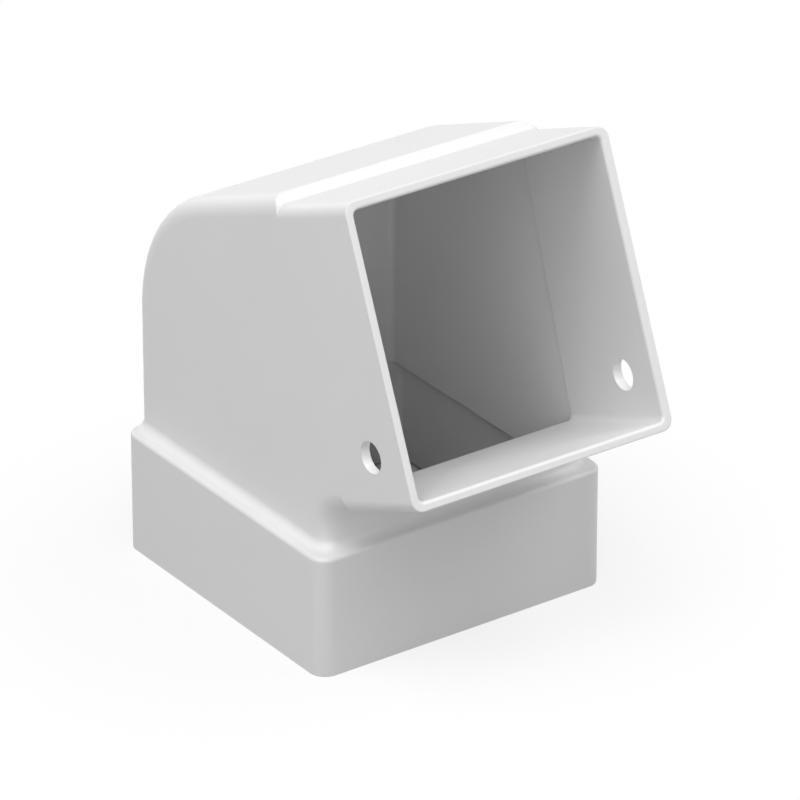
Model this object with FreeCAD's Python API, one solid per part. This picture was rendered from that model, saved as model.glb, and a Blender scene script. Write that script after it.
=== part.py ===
# Offset bend for a square rainwater downpipe, moulded in one piece.
# It stands on the rim of its socket, centred on the origin. The pipe enters the
# socket from below. The spigot leaves towards -Y and rises, and goes into the
# socket of the next fitting. Lengths are in millimetres.
import FreeCAD, Part

import math
import os

from FreeCAD import Vector

# Socket, round the end of the pipe
PIPE_SIDE = 65.0           # outside of the square pipe
PIPE_CLEARANCE = 1.2       # round the pipe, on each side
SOCKET_WALL = 2.8
SOCKET_HEIGHT = 27.6
SOCKET_CORNER = 3.8        # outside radius of its four corners
SOCKET_INNER_CORNER = 1.0  # inside radius of its four corners
LEDGE_THICKNESS = 2.6      # the ledge outside is the pipe's stop inside
LEDGE_EDGE = 0.9           # rounding of the ledge's outer edge
LEDGE_BLEND = 2.0          # hollow curve from the ledge up into the hood's walls
LEAD_IN = 1.0              # bevel that guides the pipe into the rim

# Hood, the hollow bend above the socket, its back flush with the socket's
HOOD_WIDTH = 66.0
HOOD_FRONT = 33.0          # from the socket's axis to the outside of the front wall
HOOD_CORNER = 3.8          # rounding of the long edges outside
BACK_RADIUS = 35.8         # sweep of the back over into the top
FRONT_RUN = 3.8            # straight part of the front wall above the ledge
THROAT_RADIUS = 8.0        # hollow curve from the front wall to the underside
THROAT_RUN = 3.1           # straight part of the underside up to the spigot's root
THROAT_EDGE = 1.0          # rounding inside, of the edge that the water runs over
CROWN_STEP = 2.2           # how far the hood stands above the spigot's top
CROWN_RUN = 2.1            # length of the slope down that step

# Spigot, the open end with the screw holes
OUTLET_RISE = 22.5         # degrees of its axis above the horizontal
SPIGOT_LENGTH = 25.7       # from its root, where the crown's slope ends, to the mouth
SPIGOT_WIDTH = 65.4        # outside, at the mouth
SPIGOT_HEIGHT = 64.4       # outside, square to the axis
SPIGOT_CORNER = 2.6        # rounding of its long edges outside
LIP_EDGE = 0.25            # rounding of the mouth's outer edge
LIP_INNER_EDGE = 0.7       # rounding of its inner edge
HOLE_DIAMETER = 7.0
HOLE_TO_MOUTH = 11.3       # from the plane of the mouth to the hole's centre
HOLE_TO_UNDERSIDE = 11.9   # from the spigot's underside to the hole's centre

# Walls and inside corners of hood and spigot
HOOD_WALL = 1.6            # thinner than the spigot's, so a fine step shows inside
SPIGOT_WALL = 2.0
INNER_CORNER = 1.3

# How far a cutting shape passes the surface that it opens
OVERRUN = 5.0

RISE = math.radians(OUTLET_RISE)
ALONG = Vector(0, -math.cos(RISE), math.sin(RISE))
ACROSS = Vector(0, math.sin(RISE), math.cos(RISE))
SIDEWAYS = Vector(1, 0, 0)
UP = Vector(0, 0, 1)
BACKWARDS = Vector(0, 1, 0)

SOCKET_INSIDE = PIPE_SIDE + 2 * PIPE_CLEARANCE
SOCKET_OUTSIDE = SOCKET_INSIDE + 2 * SOCKET_WALL
LEDGE_INSIDE = SOCKET_HEIGHT - LEDGE_THICKNESS
HOOD_BACK = SOCKET_OUTSIDE / 2

# The throat's corner, where the planes of front wall and underside meet, is the
# point that the outlet is counted from: along it, and square to it from below
THROAT_REACH = THROAT_RADIUS * math.tan((math.pi / 2 - RISE) / 2)
THROAT = Vector(0, -HOOD_FRONT, SOCKET_HEIGHT + FRONT_RUN + THROAT_REACH)
SPIGOT_ROOT = THROAT_REACH + THROAT_RUN
MOUTH = SPIGOT_ROOT + SPIGOT_LENGTH
CROWN_TOP = SPIGOT_HEIGHT + CROWN_STEP
CROWN_END = SPIGOT_ROOT - CROWN_RUN


def on_outlet(along, above):
    """Point of the middle plane, along the underside and above it."""
    return THROAT + ALONG * along + ACROSS * above


def on_wall(depth, above):
    """Point where the upright plane y = depth meets a plane above the underside."""
    lift = (above - (depth - THROAT.y) * math.sin(RISE)) / math.cos(RISE)
    return Vector(0, depth, THROAT.z + lift)


def rounding(before, corner, after, radius):
    """Start, middle and end of the arc that rounds one corner."""
    back = (before - corner).normalize()
    ahead = (after - corner).normalize()
    half = back.getAngle(ahead) / 2
    reach = radius / math.tan(half)
    middle = (back + ahead).normalize() * (radius / math.sin(half) - radius)
    return corner + back * reach, corner + middle, corner + ahead * reach


def outline(corners):
    """Closed wire round (point, radius) corners, with an arc at each radius."""
    arcs = []
    stretches = []
    for i, (corner, radius) in enumerate(corners):
        start = end = corner
        if radius > 0:
            after = corners[(i + 1) % len(corners)][0]
            start, middle, end = rounding(corners[i - 1][0], corner, after, radius)
            arcs.append(Part.Arc(start, middle, end).toShape())
        stretches.append((start, end))
    lines = [Part.makeLine(stretches[i - 1][1], start) for i, (start, _) in enumerate(stretches)]
    return Part.Wire(Part.sortEdges(arcs + lines)[0])


def rectangle(centre, upward, width, height, radius):
    """Rounded rectangle, its width sideways and its height along upward."""
    side = SIDEWAYS * (width / 2)
    top = upward * (height / 2)
    corners = (centre - side - top, centre + side - top, centre + side + top, centre - side + top)
    return outline([(corner, radius) for corner in corners])


def square(height, side, radius):
    """Rounded square that lies level."""
    return rectangle(UP * height, BACKWARDS, side, side, radius)


def lies_in(edge, point, normal):
    """Whether both ends of an edge lie in the plane through a point."""
    return all(abs((vertex.Point - point).dot(normal)) < 1e-6 for vertex in edge.Vertexes)


def bar(corners, width, radius):
    """Side profile carried across the width, its long edges rounded.

    It runs into other forms through its foot, between the last corner and the
    first, and through its head, between the third and the fourth. The edges
    round these two ends stay sharp.
    """
    points = [point for point, _ in corners]
    ends = [(points[-1], points[0]), (points[2], points[3])]
    planes = [(start, (end - start).cross(SIDEWAYS).normalize()) for start, end in ends]
    profile = Part.Face(outline(corners))
    solid = profile.translated(SIDEWAYS * (-width / 2)).extrude(SIDEWAYS * width)
    long_edges = []
    for side in (-width / 2, width / 2):
        flank = [edge for edge in solid.Edges if lies_in(edge, SIDEWAYS * side, SIDEWAYS)]
        for edge in flank:
            if not any(lies_in(edge, point, normal) for point, normal in planes):
                long_edges.append(edge)
    return solid.makeFillet(radius, long_edges)


def socket_form():
    """The collar round the pipe, up to the top of its ledge."""
    solid = Part.Face(square(0, SOCKET_OUTSIDE, SOCKET_CORNER)).extrude(UP * SOCKET_HEIGHT)
    ledge = [edge for edge in solid.Edges if lies_in(edge, UP * SOCKET_HEIGHT, UP)]
    return solid.makeFillet(LEDGE_EDGE, ledge)


def hood_foot():
    """The blend round the foot of the hood, as far as the ledge is flat.

    At the back the hood has no ledge to stand on. So the blend is made on a wider
    plate, all the way round, and then trimmed.
    """
    centre = UP * SOCKET_HEIGHT + BACKWARDS * ((HOOD_BACK - HOOD_FRONT) / 2)
    footprint = rectangle(centre, BACKWARDS, HOOD_WIDTH, HOOD_FRONT + HOOD_BACK, HOOD_CORNER)
    post = Part.Face(footprint).extrude(UP * 2 * LEDGE_BLEND)
    plate = Part.Face(square(LEDGE_INSIDE, 2 * SOCKET_OUTSIDE, 0)).extrude(UP * LEDGE_THICKNESS)
    solid = plate.fuse(post).removeSplitter()
    level = [edge for edge in solid.Edges if lies_in(edge, UP * SOCKET_HEIGHT, UP)]
    join = [edge for edge in level if edge.Length < SOCKET_OUTSIDE]
    flat = square(SOCKET_HEIGHT, SOCKET_OUTSIDE - 2 * LEDGE_EDGE, SOCKET_CORNER - LEDGE_EDGE)
    return solid.makeFillet(LEDGE_BLEND, join).common(Part.Face(flat).extrude(UP * LEDGE_BLEND))


def hood_form():
    """The bend up to the spigot's root, with the slope of its crown."""
    solid = bar(
        [
            (Vector(0, -HOOD_FRONT, LEDGE_INSIDE), 0),
            (THROAT, THROAT_RADIUS),
            (on_outlet(SPIGOT_ROOT, 0), 0),
            (on_outlet(SPIGOT_ROOT, CROWN_TOP), 0),
            (on_wall(HOOD_BACK, CROWN_TOP), BACK_RADIUS),
            (Vector(0, HOOD_BACK, LEDGE_INSIDE), 0),
        ],
        HOOD_WIDTH,
        HOOD_CORNER,
    )
    slope = [
        on_outlet(SPIGOT_ROOT, SPIGOT_HEIGHT),
        on_outlet(SPIGOT_ROOT, CROWN_TOP + CROWN_STEP),
        on_outlet(CROWN_END - CROWN_RUN, CROWN_TOP + CROWN_STEP),
    ]
    wedge = Part.Face(outline([(corner, 0) for corner in slope]))
    wedge = wedge.translated(SIDEWAYS * -HOOD_WIDTH).extrude(SIDEWAYS * 2 * HOOD_WIDTH)
    return solid.cut(wedge)


def spigot_form():
    """The open end: it narrows a little towards the mouth."""
    ends = []
    for along, width in ((SPIGOT_ROOT, HOOD_WIDTH), (MOUTH, SPIGOT_WIDTH)):
        centre = on_outlet(along, SPIGOT_HEIGHT / 2)
        ends.append(rectangle(centre, ACROSS, width, SPIGOT_HEIGHT, SPIGOT_CORNER))
    solid = Part.makeLoft(ends, True, True)
    lip = [edge for edge in solid.Edges if lies_in(edge, on_outlet(MOUTH, 0), ALONG)]
    return solid.makeFillet(LIP_EDGE, lip)


def socket_cavity():
    """Room for the pipe, with the bevel at its rim."""
    corner = SOCKET_INNER_CORNER
    section = Part.Face(square(-OVERRUN, SOCKET_INSIDE, corner))
    room = section.extrude(UP * (OVERRUN + LEDGE_INSIDE))
    rim = square(0, SOCKET_INSIDE + 2 * LEAD_IN, corner + LEAD_IN)
    bevel = Part.makeLoft([rim, square(LEAD_IN, SOCKET_INSIDE, corner)], True, True)
    return room.fuse(bevel)


def hood_cavity():
    """Hollow of the bend, from the pipe's stop to a line above the throat."""
    front = HOOD_WALL - HOOD_FRONT
    back = SOCKET_INSIDE / 2
    throat = on_wall(front, SPIGOT_WALL)
    step = (throat - THROAT).dot(ALONG) + THROAT_EDGE
    return bar(
        [
            (Vector(0, front, LEDGE_INSIDE - OVERRUN), 0),
            (throat, THROAT_EDGE),
            (on_outlet(step, SPIGOT_WALL), 0),
            (on_outlet(CROWN_END - HOOD_WALL, CROWN_TOP - HOOD_WALL), 0),
            (on_wall(back, CROWN_TOP - HOOD_WALL), BACK_RADIUS - SOCKET_WALL),
            (Vector(0, back, LEDGE_INSIDE - OVERRUN), 0),
        ],
        HOOD_WIDTH - 2 * HOOD_WALL,
        INNER_CORNER,
    )


def spigot_cavity():
    """Straight passage from the socket's axis out through the mouth."""
    crossing = on_wall(0, SPIGOT_HEIGHT / 2)
    width = SPIGOT_WIDTH - 2 * SPIGOT_WALL
    height = SPIGOT_HEIGHT - 2 * SPIGOT_WALL
    length = (on_outlet(MOUTH, 0) - crossing).dot(ALONG) + OVERRUN
    section = Part.Face(rectangle(crossing, ACROSS, width, height, INNER_CORNER))
    return section.extrude(ALONG * length)


def screw_holes():
    """One drill line through both side walls, near the mouth's lower corners."""
    centre = on_outlet(MOUTH - HOLE_TO_MOUTH, HOLE_TO_UNDERSIDE)
    start = centre - SIDEWAYS * HOOD_WIDTH
    return Part.makeCylinder(HOLE_DIAMETER / 2, 2 * HOOD_WIDTH, start, SIDEWAYS)


def eased_mouth(solid):
    """Rounds the inner edge of the lip, the flat face round the mouth."""
    mouth = on_outlet(MOUTH, 0)
    lip = [face for face in solid.Faces if all(lies_in(edge, mouth, ALONG) for edge in face.Edges)][0]
    inner = [edge for wire in lip.Wires if not wire.isSame(lip.OuterWire) for edge in wire.Edges]
    return solid.makeFillet(LIP_INNER_EDGE, inner)


def elbow():
    outside = socket_form().fuse([hood_foot(), hood_form(), spigot_form()]).removeSplitter()
    hollow = socket_cavity().fuse([hood_cavity(), spigot_cavity()]).removeSplitter()
    return eased_mouth(outside.cut(hollow)).cut(screw_holes())


os.makedirs("parts", exist_ok=True)
elbow().exportStep("parts/elbow.step")
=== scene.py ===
# %% [markdown]
# # A bend for a square downpipe
#
# The part is one hollow moulding in white uPVC: a wide square socket to stand
# on, a hood that turns the water round, and a slanting spigot with two screw
# holes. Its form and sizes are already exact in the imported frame, so this
# lesson is about three things: a satin plastic with soft moulded edges, a
# white floor, and the light of a plain studio.

# %% The frame and its measures
import math

import bmesh
import bpy
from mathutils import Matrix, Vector


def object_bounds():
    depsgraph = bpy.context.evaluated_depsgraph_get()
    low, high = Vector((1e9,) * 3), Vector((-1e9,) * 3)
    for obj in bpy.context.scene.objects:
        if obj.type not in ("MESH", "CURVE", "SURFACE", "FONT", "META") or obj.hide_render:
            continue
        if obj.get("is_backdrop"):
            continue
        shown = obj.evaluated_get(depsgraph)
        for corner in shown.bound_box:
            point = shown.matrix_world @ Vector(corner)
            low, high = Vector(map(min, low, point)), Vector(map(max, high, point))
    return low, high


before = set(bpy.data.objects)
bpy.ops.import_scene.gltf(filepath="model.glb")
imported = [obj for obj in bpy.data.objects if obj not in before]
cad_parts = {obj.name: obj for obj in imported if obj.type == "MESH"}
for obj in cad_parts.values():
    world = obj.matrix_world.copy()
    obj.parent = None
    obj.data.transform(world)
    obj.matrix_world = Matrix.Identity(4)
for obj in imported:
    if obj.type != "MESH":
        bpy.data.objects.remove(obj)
cad_low, cad_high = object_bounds()
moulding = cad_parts["elbow"]
MM = 0.001
print("moulding, mm:", [round(c / MM, 1) for c in cad_high - cad_low])

# %% [markdown]
# ## Writing shader maths as sums
#
# A material is a net of nodes, and arithmetic on its values takes many small
# Math nodes. They could be made one by one, but then a simple sum fills a
# screen. The class below wraps one output of a node, so that a plain
# expression such as 1 - mask adds the nodes by itself. Every other node comes
# from one method, which sets the node's settings first and then its sockets.


# %% Two small classes for shader maths
class Net:
    """The node tree of a material or a world."""

    def __init__(self, tree):
        self.tree = tree
        self.tree.nodes.clear()

    def node(self, kind, settings=None, sockets=None, output=0):
        """Adds a node and returns one of its outputs, by name or number."""
        made = self.tree.nodes.new(kind)
        for name, value in (settings or {}).items():
            setattr(made, name, value)
        for name, value in (sockets or {}).items():
            if isinstance(value, Wire):
                self.tree.links.new(value.socket, made.inputs[name])
            else:
                made.inputs[name].default_value = value
        return Wire(self, made.outputs[output]) if len(made.outputs) else made


class Wire:
    """An output of a node, for use in sums."""

    def __init__(self, net, socket):
        self.net = net
        self.socket = socket

    def _math(self, operation, first, second):
        return self.net.node("ShaderNodeMath", {"operation": operation}, {0: first, 1: second})

    def __add__(self, other):
        return self._math("ADD", self, other)

    def __radd__(self, other):
        return self._math("ADD", other, self)

    def __sub__(self, other):
        return self._math("SUBTRACT", self, other)

    def __rsub__(self, other):
        return self._math("SUBTRACT", other, self)

    def __mul__(self, other):
        return self._math("MULTIPLY", self, other)

    def __rmul__(self, other):
        return self._math("MULTIPLY", other, self)

    def __neg__(self):
        return 0.0 - self

    def at_most(self, limit):
        return self._math("MINIMUM", self, limit)

    def at_least(self, limit):
        return self._math("MAXIMUM", self, limit)

    def above(self, limit):
        return self._math("GREATER_THAN", self, limit)


print("shader helpers: Net, Wire")

# %% [markdown]
# ## The plastic
#
# The real part is uPVC, coloured right through and moulded against a finely
# blasted steel tool. So it has no paint edge and no grain, only a satin skin:
# a touch of cloudiness where the melt met, a very fine tooth, and faces that
# are a few hundredths of a millimetre off flat. A flat colour with one
# roughness looks like a computer's default, and an image texture would have
# to be unwrapped. Noise in object coordinates has neither fault, and it runs
# over every edge without a seam.
#
# Each kind of unevenness has its own size of lump, so each is one noise.

# %% The unevenness of a moulded skin
CLOUD_SIZE = 30 * MM
WAVE_SIZE = 22 * MM
WAVE_HEIGHT = 0.12 * MM
WAVE_STRENGTH = 0.35
PATCH_SIZE = 9 * MM
TOOTH_SIZE = 0.35 * MM
TOOTH_HEIGHT = 0.01 * MM
TOOTH_STRENGTH = 0.3


def noise(net, place, size, detail=2.0, roughness=0.5):
    """Noise whose lumps are about this size, in metres."""
    sockets = {"Vector": place, "Scale": 1 / size, "Detail": detail, "Roughness": roughness}
    return net.node("ShaderNodeTexNoise", {}, sockets)


def bump(net, heights, below, distance, strength):
    """Tilts the skin by these heights, on top of the normal from below."""
    sockets = {"Height": heights, "Normal": below, "Distance": distance, "Strength": strength}
    return net.node("ShaderNodeBump", {}, sockets)


print("lumps, mm:", [round(s / MM, 2) for s in (CLOUD_SIZE, WAVE_SIZE, PATCH_SIZE, TOOTH_SIZE)])

# %% [markdown]
# ## The finish of the moulding
#
# The colour runs between two whites that hardly differ, and the roughness
# between satin and a little duller. The bevel node rounds the light on every
# sharp edge by a fifth of a millimetre, which no mould can avoid. It rounds
# only the look, because the larger roundings are already in the solid.

# %% White uPVC
WHITE = (0.82, 0.82, 0.82, 1.0)
CLOUDY = (0.785, 0.785, 0.785, 1.0)
SATIN = 0.38
DULLER = 0.1
UPVC_IOR = 1.53
EDGE_RADIUS = 0.2 * MM
EDGE_SAMPLES = 6


def make_upvc():
    material = bpy.data.materials.new("satin_upvc")
    material.use_nodes = True
    net = Net(material.node_tree)
    place = net.node("ShaderNodeTexCoord", output="Object")
    cloud = noise(net, place, CLOUD_SIZE, detail=3.0)
    # The colour sockets of a Mix node share their names with others, so they go by number
    mix = {0: cloud, 6: WHITE, 7: CLOUDY}
    colour = net.node("ShaderNodeMix", {"data_type": "RGBA"}, mix, output=2)
    tooth = noise(net, place, TOOTH_SIZE, detail=3.0, roughness=0.6)
    patches = noise(net, place, PATCH_SIZE)
    waves = noise(net, place, WAVE_SIZE, detail=1.0)
    edge = net.node("ShaderNodeBevel", {"samples": EDGE_SAMPLES}, {"Radius": EDGE_RADIUS})
    wavy = bump(net, waves, edge, WAVE_HEIGHT, WAVE_STRENGTH)
    skin = bump(net, tooth, wavy, TOOTH_HEIGHT, TOOTH_STRENGTH)
    plastic = net.node(
        "ShaderNodeBsdfPrincipled",
        {},
        {
            "Base Color": colour,
            "Roughness": SATIN + DULLER * patches,
            "IOR": UPVC_IOR,
            "Normal": skin,
        },
    )
    net.node("ShaderNodeOutputMaterial", {}, {"Surface": plastic})
    return material


moulding.data.materials.clear()
moulding.data.materials.append(make_upvc())
print("finish on", moulding.name + ":", moulding.data.materials[0].name)

# %% [markdown]
# ## The floor
#
# The part stands on a table in front of a white background. A lit floor is
# never quite white, and it shows the falloff of the lamps. So the camera, and
# whatever is reflected in the plastic, sees a plain white glow that hides
# most of a coat of white paint. The paint only comes through round the part's
# foot, and there it keeps the soft shadow of something that stands on it.
# Inside the socket, where the mouth gives a view of the floor, there is no
# glow at all, because no light shines there. The light that bounces back up
# comes from a grey cloth: a white one would fill the hollow under the spigot,
# which is in shade.

# %% A white floor that keeps the shadow
FLOOR_REACH = 2.0  # metres from the middle to each side
FOOT = cad_high.x
SOCKET_INSIDE = FOOT - 1.5 * MM
FADE = 60 * MM
PAINT_SHARE = 0.3
PAINT = (0.9, 0.9, 0.9, 1.0)
CLOTH = (0.4, 0.4, 0.4, 1.0)
GLOW = (1.0, 1.0, 1.0, 1.0)


def is_seen(net):
    """1 where the camera looks, also by way of a mirror or glass, and 0 for light that bounces."""
    camera_ray = net.node("ShaderNodeLightPath", output="Is Camera Ray")
    glossy_ray = net.node("ShaderNodeLightPath", output="Is Glossy Ray")
    clear_ray = net.node("ShaderNodeLightPath", output="Is Transmission Ray")
    return camera_ray.at_least(glossy_ray).at_least(clear_ray)


def is_outside(net, place):
    """1 on the floor outside the square socket."""
    sideways = net.node("ShaderNodeSeparateXYZ", {}, {0: place}, output="X")
    ahead = net.node("ShaderNodeSeparateXYZ", {}, {0: place}, output="Y")
    outmost = sideways.at_least(-sideways).at_least(ahead.at_least(-ahead))
    return outmost.above(SOCKET_INSIDE)


def make_floor_paint():
    material = bpy.data.materials.new("white_floor")
    material.use_nodes = True
    net = Net(material.node_tree)
    place = net.node("ShaderNodeTexCoord", output="Object")
    length = {"operation": "LENGTH"}
    from_middle = net.node("ShaderNodeVectorMath", length, {0: place}, output="Value")
    outward = ((from_middle - FOOT) * (1 / FADE)).at_least(0.0).at_most(1.0)
    glow = is_outside(net, place) * (1.0 - PAINT_SHARE * (1.0 - outward))
    cloth = net.node("ShaderNodeBsdfDiffuse", {}, {"Color": CLOTH})
    paint = net.node("ShaderNodeBsdfDiffuse", {}, {"Color": PAINT})
    white = net.node("ShaderNodeEmission", {}, {"Color": GLOW, "Strength": 1.0})
    looks = net.node("ShaderNodeMixShader", {}, {0: glow, 1: paint, 2: white})
    both = net.node("ShaderNodeMixShader", {}, {0: is_seen(net), 1: cloth, 2: looks})
    net.node("ShaderNodeOutputMaterial", {}, {"Surface": both})
    return material


floor_mesh = bmesh.new()
bmesh.ops.create_grid(floor_mesh, x_segments=1, y_segments=1, size=FLOOR_REACH)
floor = bpy.data.objects.new("floor", bpy.data.meshes.new("floor"))
floor_mesh.to_mesh(floor.data)
floor_mesh.free()
floor.data.materials.append(make_floor_paint())
bpy.context.scene.collection.objects.link(floor)
floor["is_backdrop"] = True
print("floor faces:", len(floor.data.polygons))

# %% [markdown]
# ## The room
#
# The world has two parts to play, like the floor. Where it is seen, it is the
# white background of the picture. As a source of light it is only a dim room,
# because a white one would light the inside of the bend from every side and
# leave no shade to show its form.

# %% A white background and a dim room
ROOM = 0.06


def make_world():
    world = bpy.data.worlds.new("studio")
    world.use_nodes = True
    net = Net(world.node_tree)
    room = net.node("ShaderNodeBackground", {}, {"Color": GLOW, "Strength": ROOM})
    white = net.node("ShaderNodeBackground", {}, {"Color": GLOW, "Strength": 1.0})
    both = net.node("ShaderNodeMixShader", {}, {0: is_seen(net), 1: room, 2: white})
    net.node("ShaderNodeOutputWorld", {}, {"Surface": both})
    return world


bpy.context.scene.world = make_world()
print("room:", ROOM)

# %% [markdown]
# ## The light
#
# The tops of the part are brightest, its left side comes next and its front
# is dimmer, and every shadow has a soft edge. That is the light of a tent:
# white panels all round, with the three brightest high up on the left, in
# front on the left and on the right. One huge lamp would give only one of
# those levels. Each panel stands as far off as the others, so its power alone
# says how bright it is, and the levels add up to about that of full daylight
# on white paper. The panels are a metre wide, because a smaller and stronger
# one shows as a glaring patch where the satin plastic reflects it.

# %% Nine panels
MIDDLE = (cad_low + cad_high) / 2
PANEL_AWAY = 1.5
PANEL_SIDE = 1.0
FULL = 24.2  # watts that light a face square to the panel as brightly as daylight would

# Where each panel stands: degrees round from the front towards the right,
# degrees up, and its share of the light
PANELS = {
    "front_low": (0, 10, 0.1),
    "front_right": (45, 30, 0.03),
    "right": (60, 48, 0.385),
    "back_right": (120, 10, 0.06),
    "back": (180, 10, 0.16),
    "back_left": (240, 10, 0.105),
    "left_high": (270, 66, 0.375),
    "front_left": (315, 30, 0.215),
    "front_left_high": (315, 66, 0.265),
}


def towards(round_from_front, up):
    """Direction from the part, by degrees round from the front and degrees up."""
    turn = math.radians(round_from_front)
    rise = math.radians(up)
    level = math.cos(rise)
    return Vector((math.sin(turn) * level, -math.cos(turn) * level, math.sin(rise)))


def add_panel(name, outward, share):
    lamp = bpy.data.lights.new(name, "AREA")
    lamp.shape = "SQUARE"
    lamp.size = PANEL_SIDE
    lamp.energy = FULL * share
    panel = bpy.data.objects.new(name, lamp)
    panel.location = MIDDLE + outward * PANEL_AWAY
    panel.rotation_euler = outward.to_track_quat("Z", "Y").to_euler()
    bpy.context.scene.collection.objects.link(panel)


on_level_face = 0.0
for name, (round_from_front, up, share) in PANELS.items():
    outward = towards(round_from_front, up)
    add_panel(name, outward, share)
    on_level_face += share * outward.z
print("panels:", len(PANELS), "light on a level face:", round(on_level_face, 2))

# %% [markdown]
# ## The camera
#
# A long lens far away keeps the upright edges almost parallel. The camera
# stands 35 degrees to the left of the spigot and 27 degrees above the part.

# %% Camera
AIM = Vector((9.56, 0.1, 35.98)) * MM
ROUND_FROM_FRONT = -35.351
UP = 27.314
DISTANCE = 1419.5 * MM
LENS = 302.26

back = towards(ROUND_FROM_FRONT, UP)
camera = bpy.data.objects.new("camera", bpy.data.cameras.new("camera"))
camera.data.lens = LENS
camera.location = AIM + back * DISTANCE
camera.rotation_euler = back.to_track_quat("Z", "Y").to_euler()
bpy.context.scene.collection.objects.link(camera)
bpy.context.scene.camera = camera
bpy.context.scene.view_settings.view_transform = "Standard"
print("camera at", [round(c, 3) for c in camera.location])

# %% Both boxes, and how much the box grew
new_low, new_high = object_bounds()
growth = (new_high - new_low) - (cad_high - cad_low)
print("box grew by, mm:", [round(c / MM, 2) for c in growth])
